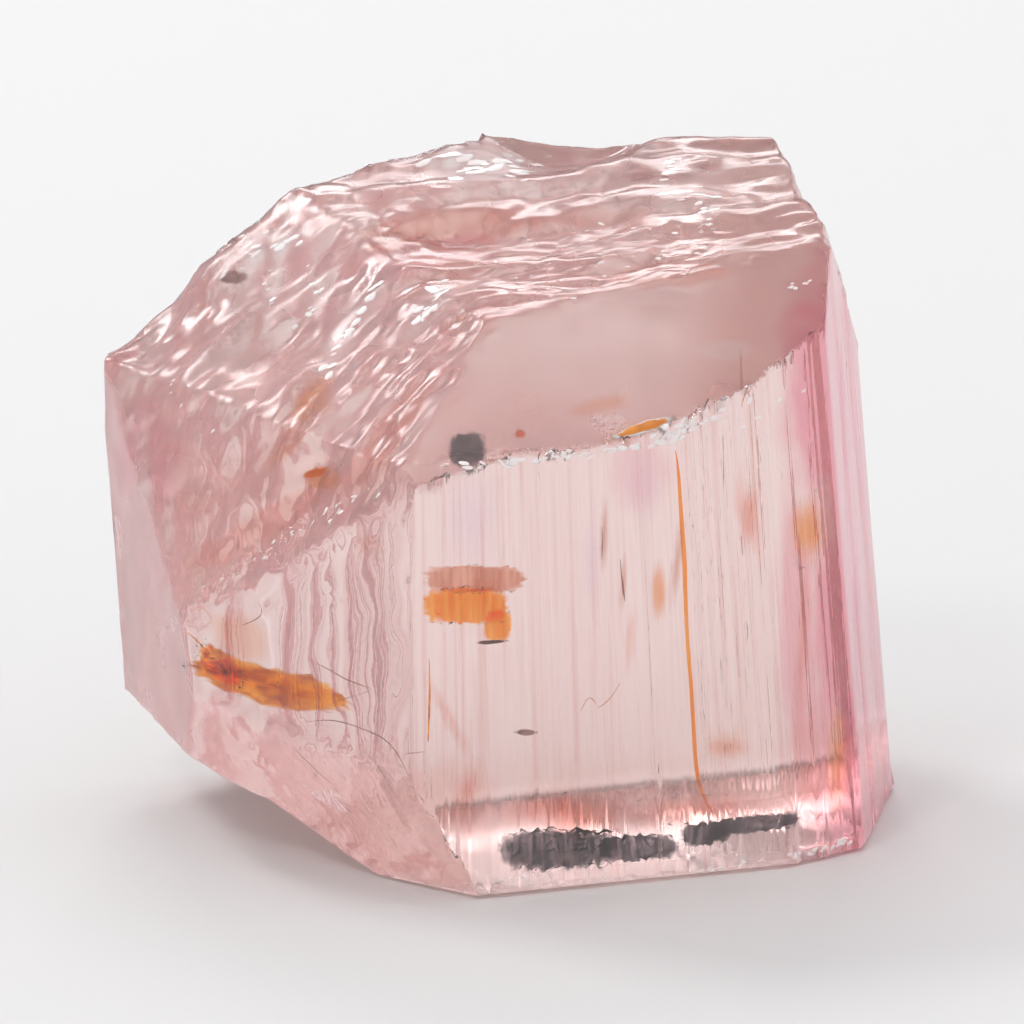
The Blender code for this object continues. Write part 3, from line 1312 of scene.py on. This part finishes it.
# Each film's name, spot on the photograph, finish and depth below the surface.
FLAKES = (
    Flake(
        "stain_lens", Spot((270, 684), (76, 18), -14.0), ORANGE, 0.18,
        thickness=0.06, feather=0.14, ragged=0.35, edge=0.25,
    ),
    Flake(
        "stain_lens_head", Spot((222, 664), (26, 13), -42.0), ORANGE, 0.20,
        taper=0.3, feather=0.3, ragged=0.4, seed=3.0,
    ),
    Flake(
        "stain_block_top", Spot((472, 577), (12, 46), 90.0), RUSSET, 0.42,
        thickness=0.03, feather=0.15, ragged=0.15, square=0.5,
    ),
    Flake(
        "stain_block", Spot((464, 604), (16, 38), 90.0), AMBER, 0.30,
        thickness=0.03, feather=0.2, ragged=0.15, square=0.5, seed=1.0,
    ),
    Flake(
        "stain_block_tongue", Spot((497, 625), (14, 12), 84.0), AMBER, 0.18,
        thickness=0.03, feather=0.2, ragged=0.2, square=0.4, seed=2.0,
    ),
    Flake(
        "stain_leaf", Spot((644, 428), (27, 4.5), 17.0), LEAF, 0.0,
        thickness=0.06, taper=0.3, feather=0.3, ragged=0.35, seed=4.0,
    ),
    # Dark sheets of painted shade: reflections of the dark surroundings, on the block and along the
    # foot.
    Flake(
        "dark_reflection_block", Spot((466, 454), (16, 18), 92.0), DARK_REFLECTION, 0.40,
        thickness=0.06, feather=0.2, ragged=0.2, square=0.2, seed=5.0,
    ),
    DarkReflectionFoot("dark_reflection_foot_left", Spot((556, 849), (17, 54), 93.0), DARK_REFLECTION, taper=0.2, seed=11.0),
    DarkReflectionFoot("dark_reflection_foot_middle", Spot((638, 847), (11, 36), 94.0), DARK_REFLECTION, seed=12.0),
    DarkReflectionFoot("dark_reflection_foot_right", Spot((704, 833), (10, 24), 95.0), DARK_REFLECTION, seed=13.0),
    DarkReflectionFoot("dark_reflection_foot_far", Spot((757, 823), (7, 40), 96.0), DARK_REFLECTION, seed=14.0),
    Flake("speck_orange", Spot((519, 438), (5, 4)), DEEP_ORANGE, 0.25, seed=6.0),
    Flake("speck_upper", Spot((318, 474), (12, 5), 10.0), ORANGE, 0.35, seed=7.0),
    Flake("shade_upper_left", Spot((236, 281), (12, 6)), SHADOW, 0.40, seed=8.0),
    Veil("rose_leaf", Spot((748, 513), (38, 9), 78.0), ROSE_FILM, seed=40.0),
    Veil("streak_left", Spot((603, 535), (40, 5), 88.0), BROWN_FILM, 0.2, seed=41.0),
    Veil("streak_dark", Spot((622, 582), (30, 4), 87.0), BROWN_FILM, 0.2, seed=42.0),
    Veil("streak_amber", Spot((658, 590), (26, 8), 90.0), HAZE, 0.25, seed=43.0),
    Veil("streak_vein", Spot((675, 560), (46, 6), 82.0), BROWN_FILM, seed=44.0),
    Veil("streak_low", Spot((628, 640), (34, 5), 86.0), ROSE_FILM, seed=45.0),
    Veil("smear_left", Spot((446, 715), (42, 7), -62.0), ROSE_FILM, seed=46.0),
    Veil("smear_low", Spot((465, 790), (34, 12), 70.0), ROSE_FILM, ragged=0.3, seed=47.0),
    Veil("veil_mauve", Spot((590, 560), (60, 9), 90.0), LAVENDER, seed=48.0),
    Veil(
        "pane_lavender", Spot((468, 516), (30, 40)), LAVENDER, 0.5,
        feather=0.1, ragged=0.1, square=0.6, seed=49.0,
    ),
    Veil("pane_middle", Spot((640, 480), (38, 22), 90.0), LAVENDER, feather=0.1, seed=50.0),
    Veil("veil_right", Spot((834, 470), (110, 8), 86.0), MAUVE_FILM, 0.2, seed=51.0),
    Veil("veil_right_low", Spot((846, 690), (110, 10), 86.0), MAUVE_FILM, 0.2, seed=52.0),
    Veil("veil_right_inner", Spot((800, 640), (120, 7), 87.0), ROSE_FILM, 0.2, seed=53.0),
    Veil(
        "haze_right", Spot((806, 530), (34, 20), 88.0), HAZE, 0.4,
        feather=0.2, ragged=0.3, seed=54.0,
    ),
    Veil("arch_low", Spot((727, 747), (20, 8)), ROSE_FILM, feather=0.2, ragged=0.3, seed=55.0),
    Veil(
        "band_low", Spot((572, 811), (18, 66), 91.0), ROSE_FILM, 0.35,
        feather=0.4, ragged=0.1, seed=56.0,
    ),
    Veil(
        "band_low_right", Spot((690, 808), (13, 66), 93.0), ROSE_FILM, 0.35,
        feather=0.4, ragged=0.1, seed=57.0,
    ),
    Veil("haze_corner", Spot((836, 770), (52, 12), 86.0), HAZE, feather=0.2, seed=58.0),
    Flake("dash_left", Spot((490, 641), (14, 2.2), 4.0), UMBER, 0.20, 0.03, seed=9.0),
    Flake("dash_right", Spot((524, 731), (11, 3)), SHADOW, 0.25, 0.03, seed=10.0),
)

UPRIGHT_VEIN = (
    (677, 452), (680, 467), (683, 520), (686, 560), (687, 600), (689, 640), (692, 683),
    (695, 733), (697, 767), (702, 793), (709, 812),
)
CRACK_ARC = ((303, 723), (323, 720), (343, 723), (367, 732), (385, 740), (400, 760), (407, 777))

# Each thread's name, line, radius and finish, and the vein's depth and swell.
THREADS = (
    Thread("upright_vein", UPRIGHT_VEIN, 0.055, AMBER, 0.15, 0.3),
    Thread("needle", ((430, 660), (431, 690), (430, 715), (429, 742)), 0.035, ORANGE),
    Thread("crack_arc", CRACK_ARC, 0.016, SHADOW),
    Thread("crack_inner", ((360, 750), (377, 767), (390, 790), (400, 807)), 0.013, SHADOW),
    Thread("crack_outer", ((290, 747), (303, 760), (320, 777), (337, 790)), 0.013, SHADOW),
    Thread("crack_branch", ((403, 755), (415, 752), (427, 753)), 0.012, UMBER),
    Thread("lens_edge", ((307, 660), (327, 670), (343, 680), (363, 687), (370, 690)), 0.014, UMBER),
    Thread("lens_edge_low", ((330, 703), (350, 698), (370, 691)), 0.012, SHADOW),
    Thread("lens_tail", ((186, 632), (197, 642), (208, 655)), 0.030, ORANGE),
    Thread("crack_top", ((257, 603), (263, 612), (253, 622), (240, 626)), 0.013, UMBER),
    Thread("line_dark", ((621, 560), (623, 580), (626, 602)), 0.030, SHADOW),
    Thread("line_brown", ((741, 352), (742, 380), (743, 408)), 0.035, RUSSET),
    Thread("line_fine", ((603, 527), (604, 545), (603, 560)), 0.018, SHADOW),
    Thread("line_long", ((724, 436), (725, 462), (725, 490)), 0.014, SHADOW),
    Thread("vein_left", ((582, 712), (590, 690), (597, 705)), 0.020, RUSSET),
    Thread("vein_right", ((601, 708), (610, 705), (621, 684)), 0.020, RUSSET),
)


@dataclass(frozen=True)
class Softbox:
    """A square soft light that faces the crystal."""

    name: str
    place: Triple
    size: float
    watts: float

    def build(self, aim: Vector) -> None:
        """Makes the light.

        Args:
            aim: The place that it faces, in millimetres.
        """
        data = bpy.data.lights.new(self.name, "AREA")
        data.shape = "SQUARE"
        data.size = self.size * MM
        data.energy = self.watts
        light = bpy.data.objects.new(self.name, data)
        light.location = Vector(self.place) * MM
        way = aim - Vector(self.place)
        light.rotation_euler = way.to_track_quat("-Z", "Y").to_euler()
        bpy.context.scene.collection.objects.link(light)


SOFTBOXES = (
    Softbox("left_softbox", (-200, 150, 260), 90, 0.33),
    Softbox("back_softbox", (-25, 280, 245), 130, 0.30),
    Softbox("key_softbox", (-110, -210, 260), 60, 0.14),
)

# How Cycles traces light through the crystal, in a time that stays short.
LIGHT_PATHS = {
    "max_bounces": 12,
    "diffuse_bounces": 2,
    "transmission_bounces": 12,
    "glossy_bounces": 4,
    "adaptive_threshold": 0.25,
    "light_sampling_threshold": 0.05,
    "use_light_tree": False,
    "debug_use_spatial_splits": True,
    "debug_use_compact_bvh": False,
}


@dataclass
class Studio:
    """The pale floor, the soft lights, the dark card behind and the camera."""

    sight: Sight
    clip: Pair = (0.01, 20.0)
    floor_size: float = 3000.0
    floor_gap: float = 0.1
    floor_colour: Colour = (0.64, 0.635, 0.625)
    card_place: Triple = (0.0, 620.0, 170.0)
    card_size: Pair = (460.0, 190.0)
    card_colour: Colour = (0.10, 0.075, 0.075)
    paper_roughness: float = 0.9
    air_colour: Colour = (0.93, 0.93, 0.96)
    air_strength: float = 1.03

    def build(self) -> None:
        """Makes the camera, the floor, the card, the world and the lights."""
        self.build_camera()
        self.build_floor()
        self.build_card()
        self.build_world()
        for softbox in SOFTBOXES:
            softbox.build(Vector(self.sight.aim))
        for name, value in LIGHT_PATHS.items():
            setattr(bpy.context.scene.cycles, name, value)
        view = bpy.context.scene.view_settings
        view.view_transform = "Standard"
        view.look = "None"

    def build_camera(self) -> None:
        """Makes the camera and hands it to the scene."""
        data = bpy.data.cameras.new("camera")
        data.lens = self.sight.lens
        data.sensor_width = self.sight.sensor
        data.clip_start, data.clip_end = self.clip
        camera = bpy.data.objects.new("camera", data)
        camera.location = self.sight.eye() * MM
        camera.rotation_euler = Euler((math.radians(90.0 - self.sight.elevation), 0.0, 0.0))
        bpy.context.scene.collection.objects.link(camera)
        bpy.context.scene.camera = camera

    def build_floor(self) -> None:
        """Makes the plain pale floor."""
        deselect_all()
        place = (0, 0, -self.floor_gap * MM)
        bpy.ops.mesh.primitive_plane_add(size=self.floor_size * MM, location=place)
        self.dress(bpy.context.object, "floor", self.floor_colour)

    def build_card(self) -> None:
        """Makes the dark card that stands far behind and shades the crystal's foot."""
        deselect_all()
        bpy.ops.mesh.primitive_plane_add(size=1.0, location=Vector(self.card_place) * MM)
        card = bpy.context.object
        card.scale = (self.card_size[0] * MM, self.card_size[1] * MM, 1.0)
        card.rotation_euler = Euler((math.radians(90.0), 0.0, 0.0))
        bpy.ops.object.transform_apply(location=False, rotation=True, scale=True)
        self.dress(card, "dark_card", self.card_colour)

    def dress(self, thing: bpy.types.Object, name: str, colour: Colour) -> None:
        """Names a stage piece and colours it.

        Args:
            thing: The piece.
            name: Its name.
            colour: Its colour.
        """
        thing.name = name
        shading = Shading(name + "_paper")
        shading.shader.inputs["Base Color"].default_value = (*colour, 1.0)
        shading.shader.inputs["Roughness"].default_value = self.paper_roughness
        thing.data.materials.append(shading.material)

    def build_world(self) -> None:
        """Makes the soft light that comes from all around."""
        world = bpy.data.worlds.new("studio_air")
        world.use_nodes = True
        air = world.node_tree.nodes["Background"]
        air.inputs["Color"].default_value = (*self.air_colour, 1.0)
        air.inputs["Strength"].default_value = self.air_strength
        bpy.context.scene.world = world


@dataclass
class Crystal:
    """The crystal itself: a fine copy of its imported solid.

    A face counts as flat when it is larger than flat_area or taller than tall. A flat face is
    a growth face when it faces the same way as one of them, to within prism_turn degrees. A
    slope compares the way a surface faces with the way the camera looks, or with up.
    """

    sight: Sight
    growth: Growth = field(default_factory=Growth)
    finish: TopazFinish = field(default_factory=TopazFinish)
    # What counts as flat, as a growth face and as upright.
    flat_area: float = 0.3
    tall: float = 1.8
    flat_turn: float = 0.1
    prism_turn: float = 6.0
    upright_slope: float = 0.5
    # How the faces are divided, rounded off and weighed.
    level_spacing: float = 0.5
    fracture_rounds: int = 14
    step_rounds: int = 12
    step_foot: float = 0.2
    blend: float = 0.25
    rim_rounds: int = 3
    chip_reach: float = 1.3
    chip_slope: float = 0.1
    least_weight: float = 0.01
    # The growth lines and the ragged rims, with shares of the depth and the reach.
    striation_depth: float = 0.02
    broad_striation: float = 1.2
    side_striation: float = 0.3
    rim_reach: float = 0.20
    rim_foot: float = 0.5
    broad_jag: float = 0.7
    front_slope: float = -0.5
    back_jag: float = 0.15
    # How frosted, mauve and gritty the surface is, and how soft and ragged the patches are.
    growth_frost: float = 0.05
    back_frost: float = 0.28
    frost_clouds: float = 0.5
    chip_polish: float = 0.8
    side_mauve: float = 0.95
    mauve_from: float = 6.2
    mauve_fade: float = 1.6
    seen_gain: float = 8.0
    behind_gain: float = 4.0
    fine_edge: float = 0.25
    broad_edge: float = 0.2
    least_grit: float = 0.02
    grit: float = 0.28
    # What the steps of the building find out, for each vertex.
    piece: bpy.types.Object = field(init=False)
    shares: np.ndarray = field(init=False)
    grown: np.ndarray = field(init=False)
    broken: np.ndarray = field(init=False)
    outward: np.ndarray = field(init=False)
    chipped: np.ndarray = field(init=False)

    def build(self) -> None:
        """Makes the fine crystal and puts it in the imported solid's place."""
        self.copy_solid()
        self.tell_faces_apart()
        self.slice_growth_faces()
        self.refine_fractures()
        self.weigh_fractures()
        self.smooth("broken", self.fracture_rounds)
        self.smooth("steps", self.step_rounds)
        self.carve()
        self.striate()
        keep_in_box(self.piece)
        self.paint()
        self.piece.data.materials.clear()
        self.piece.data.materials.append(self.finish.material())
        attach(self.piece, BODY)
        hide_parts(NODE)
        log.info("crystal: %d faces", len(self.piece.data.polygons))

    def copy_solid(self) -> None:
        """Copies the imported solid, joins its loose triangles and merges its flat faces."""
        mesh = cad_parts[NODE].data.copy()
        self.piece = bpy.data.objects.new("crystal", mesh)
        bpy.context.scene.collection.objects.link(self.piece)
        pick(self.piece)
        bpy.ops.object.mode_set(mode="EDIT")
        bpy.ops.mesh.select_all(action="SELECT")
        bpy.ops.mesh.remove_doubles(threshold=WELD)
        bpy.ops.mesh.dissolve_limited(angle_limit=math.radians(self.flat_turn))
        bpy.ops.object.mode_set(mode="OBJECT")

    def away(self, facings: np.ndarray) -> np.ndarray:
        """How far directions point away from the camera, from -1 to 1.

        Args:
            facings: One row of x, y and z for each direction.

        Returns:
            One number for each direction.
        """
        return facings @ np.array(self.sight.forward())

    def tell_faces_apart(self) -> None:
        """Numbers each growth face from 1, other flat faces -1 and the fractures' faces 0."""
        mesh = self.piece.data
        numbers = []
        for face in mesh.polygons:
            number = Surface.FRACTURE.value
            heights = [mesh.vertices[corner].co.z for corner in face.vertices]
            tall = max(heights) - min(heights) > self.tall * MM
            if tall or face.area > self.flat_area * MM * MM:
                closeness = [face.normal.dot(growth.facing()) for growth in GROWTH_FACES]
                nearest = max(closeness)
                number = Surface.FLAT.value
                if nearest > math.cos(math.radians(self.prism_turn)):
                    number = closeness.index(nearest) + 1
            numbers.append(number)
        mesh.attributes.new(SURFACE, "INT", "FACE").data.foreach_set("value", numbers)

    def refine_fractures(self) -> None:
        """Divides the fractures' triangles twice, and a third time where they show sharply."""
        self.divide(())
        self.divide(())
        self.divide(FINE_ZONES)

    def divide(self, zones: tuple[Spot, ...]) -> None:
        """Divides the fractures' faces into four.

        Args:
            zones: The parts of the picture to divide, or none to divide everything.
        """
        mesh = self.piece.data
        pick(self.piece)
        bpy.ops.object.mode_set(mode="EDIT")
        shape = bmesh.from_edit_mesh(mesh)
        layer = shape.faces.layers.int[SURFACE]
        faces = shape.faces[:]
        centres = np.array([face.calc_center_median() for face in faces]) / MM
        pixels = self.sight.pixels(centres)
        forward = self.sight.forward()
        seen = np.array([face.normal.dot(forward) < 0 for face in faces])
        chosen = np.full(len(faces), not zones)
        for zone in zones:
            chosen |= (zone.reach(pixels) < 1.0) & seen
        bpy.ops.mesh.select_all(action="DESELECT")
        for face, choice in zip(faces, chosen):
            face.select_set(bool(choice) and face[layer] == Surface.FRACTURE.value)
        bmesh.update_edit_mesh(mesh)
        bpy.ops.mesh.subdivide(number_cuts=1)
        bpy.ops.object.mode_set(mode="OBJECT")

    def slice_growth_faces(self) -> None:
        """Divides the flat upright faces by level planes, and the growth faces by upright ones."""
        mesh = self.piece.data
        shape = bmesh.new()
        shape.from_mesh(mesh)
        layer = shape.faces.layers.int[SURFACE]
        upright = [
            face
            for face in shape.faces
            if face[layer] and abs(face.normal.z) < self.upright_slope
        ]
        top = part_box(NODE)[1][2] / MM
        for height in np.arange(self.level_spacing, top, self.level_spacing):
            upright = self.cut(shape, upright, Vector((0, 0, height)), Vector((0, 0, 1)))
        for number, growth in enumerate(GROWTH_FACES, 1):
            faces = [face for face in shape.faces if face[layer] == number]
            across = growth.facing().cross(Vector((0, 0, 1)))
            reaches = [vert.co.dot(across) / MM for face in faces for vert in face.verts]
            for reach in np.arange(min(reaches), max(reaches), growth.spacing)[1:]:
                faces = self.cut(shape, faces, across * reach, across)
        uneven = [face for face in shape.faces if len(face.verts) > 4]
        bmesh.ops.triangulate(shape, faces=uneven)
        shape.to_mesh(mesh)
        shape.free()

    def cut(
        self,
        shape: bmesh.types.BMesh,
        faces: list[bmesh.types.BMFace],
        point: Vector,
        facing: Vector,
    ) -> list[bmesh.types.BMFace]:
        """Cuts some faces along a plane.

        Args:
            shape: The mesh that they belong to.
            faces: The faces.
            point: A point on the plane, in millimetres.
            facing: The plane's normal.

        Returns:
            The faces, with those that the cut made.
        """
        edges = dict.fromkeys(edge for face in faces for edge in face.edges)
        verts = dict.fromkeys(vert for face in faces for vert in face.verts)
        result = bmesh.ops.bisect_plane(
            shape, geom=[*verts, *edges, *faces], dist=SNAP, plane_co=point * MM, plane_no=facing
        )
        return [item for item in result["geom"] if isinstance(item, bmesh.types.BMFace)]

    def weigh_fractures(self) -> None:
        """Gives each vertex its share in each kind of relief, as vertex groups."""
        mesh = self.piece.data
        places = vertex_places(mesh)
        heights = np.array([fracture.height_above(places) for fracture in FRACTURES])
        shares = np.exp(heights / (self.blend / 2))
        self.shares = shares / shares.sum(axis=0)
        self.find_growth()
        inner = self.fade_in(1.0 - self.grown, self.rim_rounds)
        self.group("broken", 1.0 - self.grown)
        above = places[:, 2] > self.step_foot
        self.group("steps", self.grown * (1.0 - self.broken) * above)
        pixels = self.sight.pixels(places)
        zones = [np.clip(self.chip_reach - zone.reach(pixels), 0.0, 1.0) for zone in CHIP_ZONES]
        self.chipped = np.max(zones, axis=0)
        self.chipped *= (self.away(vertex_normals(mesh)) < self.chip_slope) * inner
        self.group(Relief.CHIPS.value, self.chipped)
        for kind in (Relief.SMOOTH, Relief.GRAINY, Relief.RIPPLES, Relief.LEDGES):
            self.group(kind.value, self.share_of(kind) * inner)

    def share_of(self, kind: Relief) -> np.ndarray:
        """How much of each vertex belongs to the fractures with one kind of relief.

        Args:
            kind: The kind of relief.

        Returns:
            One share for each vertex.
        """
        pairs = zip(self.shares, FRACTURES)
        return sum(share for share, fracture in pairs if fracture.relief is kind)

    def find_growth(self) -> None:
        """Finds the vertices that touch a flat face or a fracture, and the level way out."""
        mesh = self.piece.data
        surface = np.zeros(len(mesh.polygons), np.int32)
        mesh.attributes[SURFACE].data.foreach_get("value", surface)
        self.grown = np.zeros(len(mesh.vertices))
        self.broken = np.zeros(len(mesh.vertices))
        self.outward = np.zeros((len(mesh.vertices), 3))
        for face in mesh.polygons:
            corners = list(face.vertices)
            if surface[face.index] == Surface.FRACTURE.value:
                self.broken[corners] = 1.0
                continue
            self.grown[corners] = 1.0
            if surface[face.index] > 0:
                self.outward[corners] = GROWTH_FACES[surface[face.index] - 1].facing()

    def fade_in(self, values: np.ndarray, rounds: int) -> np.ndarray:
        """Lowers values near the vertices where they are zero.

        Args:
            values: One number for each vertex.
            rounds: How many vertices the fading reaches over.

        Returns:
            The faded values.
        """
        mesh = self.piece.data
        ends = np.zeros(len(mesh.edges) * 2, np.int32)
        mesh.edges.foreach_get("vertices", ends)
        first, second = ends.reshape(-1, 2).T
        for _ in range(rounds):
            total, count = values.copy(), np.ones(len(values))
            for start, end in ((first, second), (second, first)):
                np.add.at(total, start, values[end])
                np.add.at(count, start, 1.0)
            values = np.minimum(values, total / count)
        return values

    def group(self, name: str, weights: np.ndarray) -> None:
        """Stores weights as a vertex group.

        Args:
            name: The group's name.
            weights: One weight for each vertex.
        """
        group = self.piece.vertex_groups.new(name=name)
        for index in np.nonzero(weights > self.least_weight)[0]:
            group.add([int(index)], float(weights[index]), "REPLACE")

    def smooth(self, group: str, iterations: int) -> None:
        """Rounds off the fractures' coarse triangles, or the sharp edges of the growth steps.

        Args:
            group: The vertex group to smooth.
            iterations: How often each vertex moves half way to its neighbours' middle.
        """
        smooth = self.piece.modifiers.new("rounding", "SMOOTH")
        smooth.factor = 0.5
        smooth.iterations = iterations
        smooth.vertex_group = group
        pick(self.piece)
        bpy.ops.object.modifier_apply(modifier=smooth.name)

    def carve(self) -> None:
        """Carves each kind of fine relief into the fractures that carry it."""
        for carving in CARVINGS:
            texture = noise_texture(carving.name, carving.texture)
            turn = Vector(carving.grain).to_track_quat("X", "Z").to_matrix().to_4x4()
            size = Matrix.Diagonal((*(Vector(carving.size) * MM), 1.0))
            shift = Matrix.Translation(Vector((carving.seed, 0, 0)) * MM)
            displace(
                self.piece,
                carving.name,
                texture,
                shift @ turn @ size,
                carving.depth * MM,
                group=carving.kind.value,
            )

    def striate(self) -> None:
        """Grooves the growth faces along the growth lines, and makes their upper edges ragged."""
        places = vertex_places(self.piece.data)
        foot = self.growth.foot(places)
        waves = FINE_STRIAE.at(foot) + self.broad_striation * BROAD_STRIAE.at(foot)
        depth = self.striation_depth * waves - self.striation_depth
        away = self.away(self.outward)
        depth *= np.clip(-away, self.side_striation, 1.0)
        places += self.outward * depth[:, None]
        front = np.where(away < self.front_slope, 1.0, self.back_jag)
        rim = self.grown * self.broken * front * (places[:, 2] > self.rim_foot)
        jag = self.rim_reach * (FINE_JAGS.at(places) + self.broad_jag * BROAD_JAGS.at(places))
        places += self.growth.direction(places) * (rim * jag)[:, None]
        place_vertices(self.piece.data, places)

    def paint(self) -> None:
        """Stores the marks, where the growth faces are, and coordinates along the growth lines."""
        mesh = self.piece.data
        places = vertex_places(mesh)
        pixels = self.sight.pixels(places)
        away = self.away(vertex_normals(mesh))
        seen = np.clip(-away * self.seen_gain, 0.0, 1.0)
        ragged = self.fine_edge * FINE_EDGES.at(places) + self.broad_edge * BROAD_EDGES.at(places)
        marks = self.first_marks(places, away)
        for patch in PATCHES:
            strength = patch.strength(pixels, ragged) * seen
            marks[patch.mark] = np.maximum(marks[patch.mark], strength)
        for mark, values in marks.items():
            store(self.piece, mark.value, values)
        store(self.piece, GROWTH, self.grown)
        store(self.piece, GRIT, self.least_grit + self.grit * self.share_of(Relief.GRAINY))
        foot = mesh.attributes.new(FOOT, "FLOAT_VECTOR", "POINT")
        foot.data.foreach_set("vector", self.growth.foot(places).ravel())
        mesh.polygons.foreach_set("use_smooth", np.ones(len(mesh.polygons), bool))
        mesh.update()

    def first_marks(self, places: np.ndarray, away: np.ndarray) -> dict[Mark, np.ndarray]:
        """The marks that the crystal has before any patch: its frost, its rose and its mauve.

        Args:
            places: One row of x, y and z for each vertex.
            away: How far each vertex faces away from the camera.

        Returns:
            For each mark, one strength for each vertex.
        """
        frost = sum(share * fracture.frost for share, fracture in zip(self.shares, FRACTURES))
        rose = sum(share * fracture.rose for share, fracture in zip(self.shares, FRACTURES))
        cloudy = 1.0 + self.frost_clouds * FROST_CLOUDS.at(places)
        behind = np.clip(away * self.behind_gain, 0.0, 1.0)
        grown = self.grown > 0
        side = np.clip((places[:, 0] - self.mauve_from) / self.mauve_fade, 0.0, 1.0)
        marks = {mark: np.zeros(len(places)) for mark in Mark}
        marks[Mark.FROST] = np.where(
            grown,
            self.growth_frost + self.back_frost * behind,
            frost * cloudy * (1.0 - self.chip_polish * self.chipped),
        )
        marks[Mark.ROSE] = np.where(grown, 0.0, rose)
        marks[Mark.MAUVE] = self.side_mauve * self.grown * side
        return marks


def main() -> None:
    """Builds the studio, the crystal and its inclusions, and reports each piece."""
    logging.basicConfig(level=logging.INFO, format="%(name)s: %(message)s")
    sight = Sight()
    Studio(sight).build()
    log.info("studio ready")
    crystal = Crystal(sight)
    crystal.build()
    host = Host(sight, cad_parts[NODE].data)
    for inclusion in FLAKES + THREADS:
        inclusion.build(host)
        log.info("%s ready", inclusion.name)
    surface = Host(sight, crystal.piece.data)
    for chips in CHIPS:
        chips.build(surface)
        log.info("%s ready", chips.name)


if __name__ == "__main__":
    main()
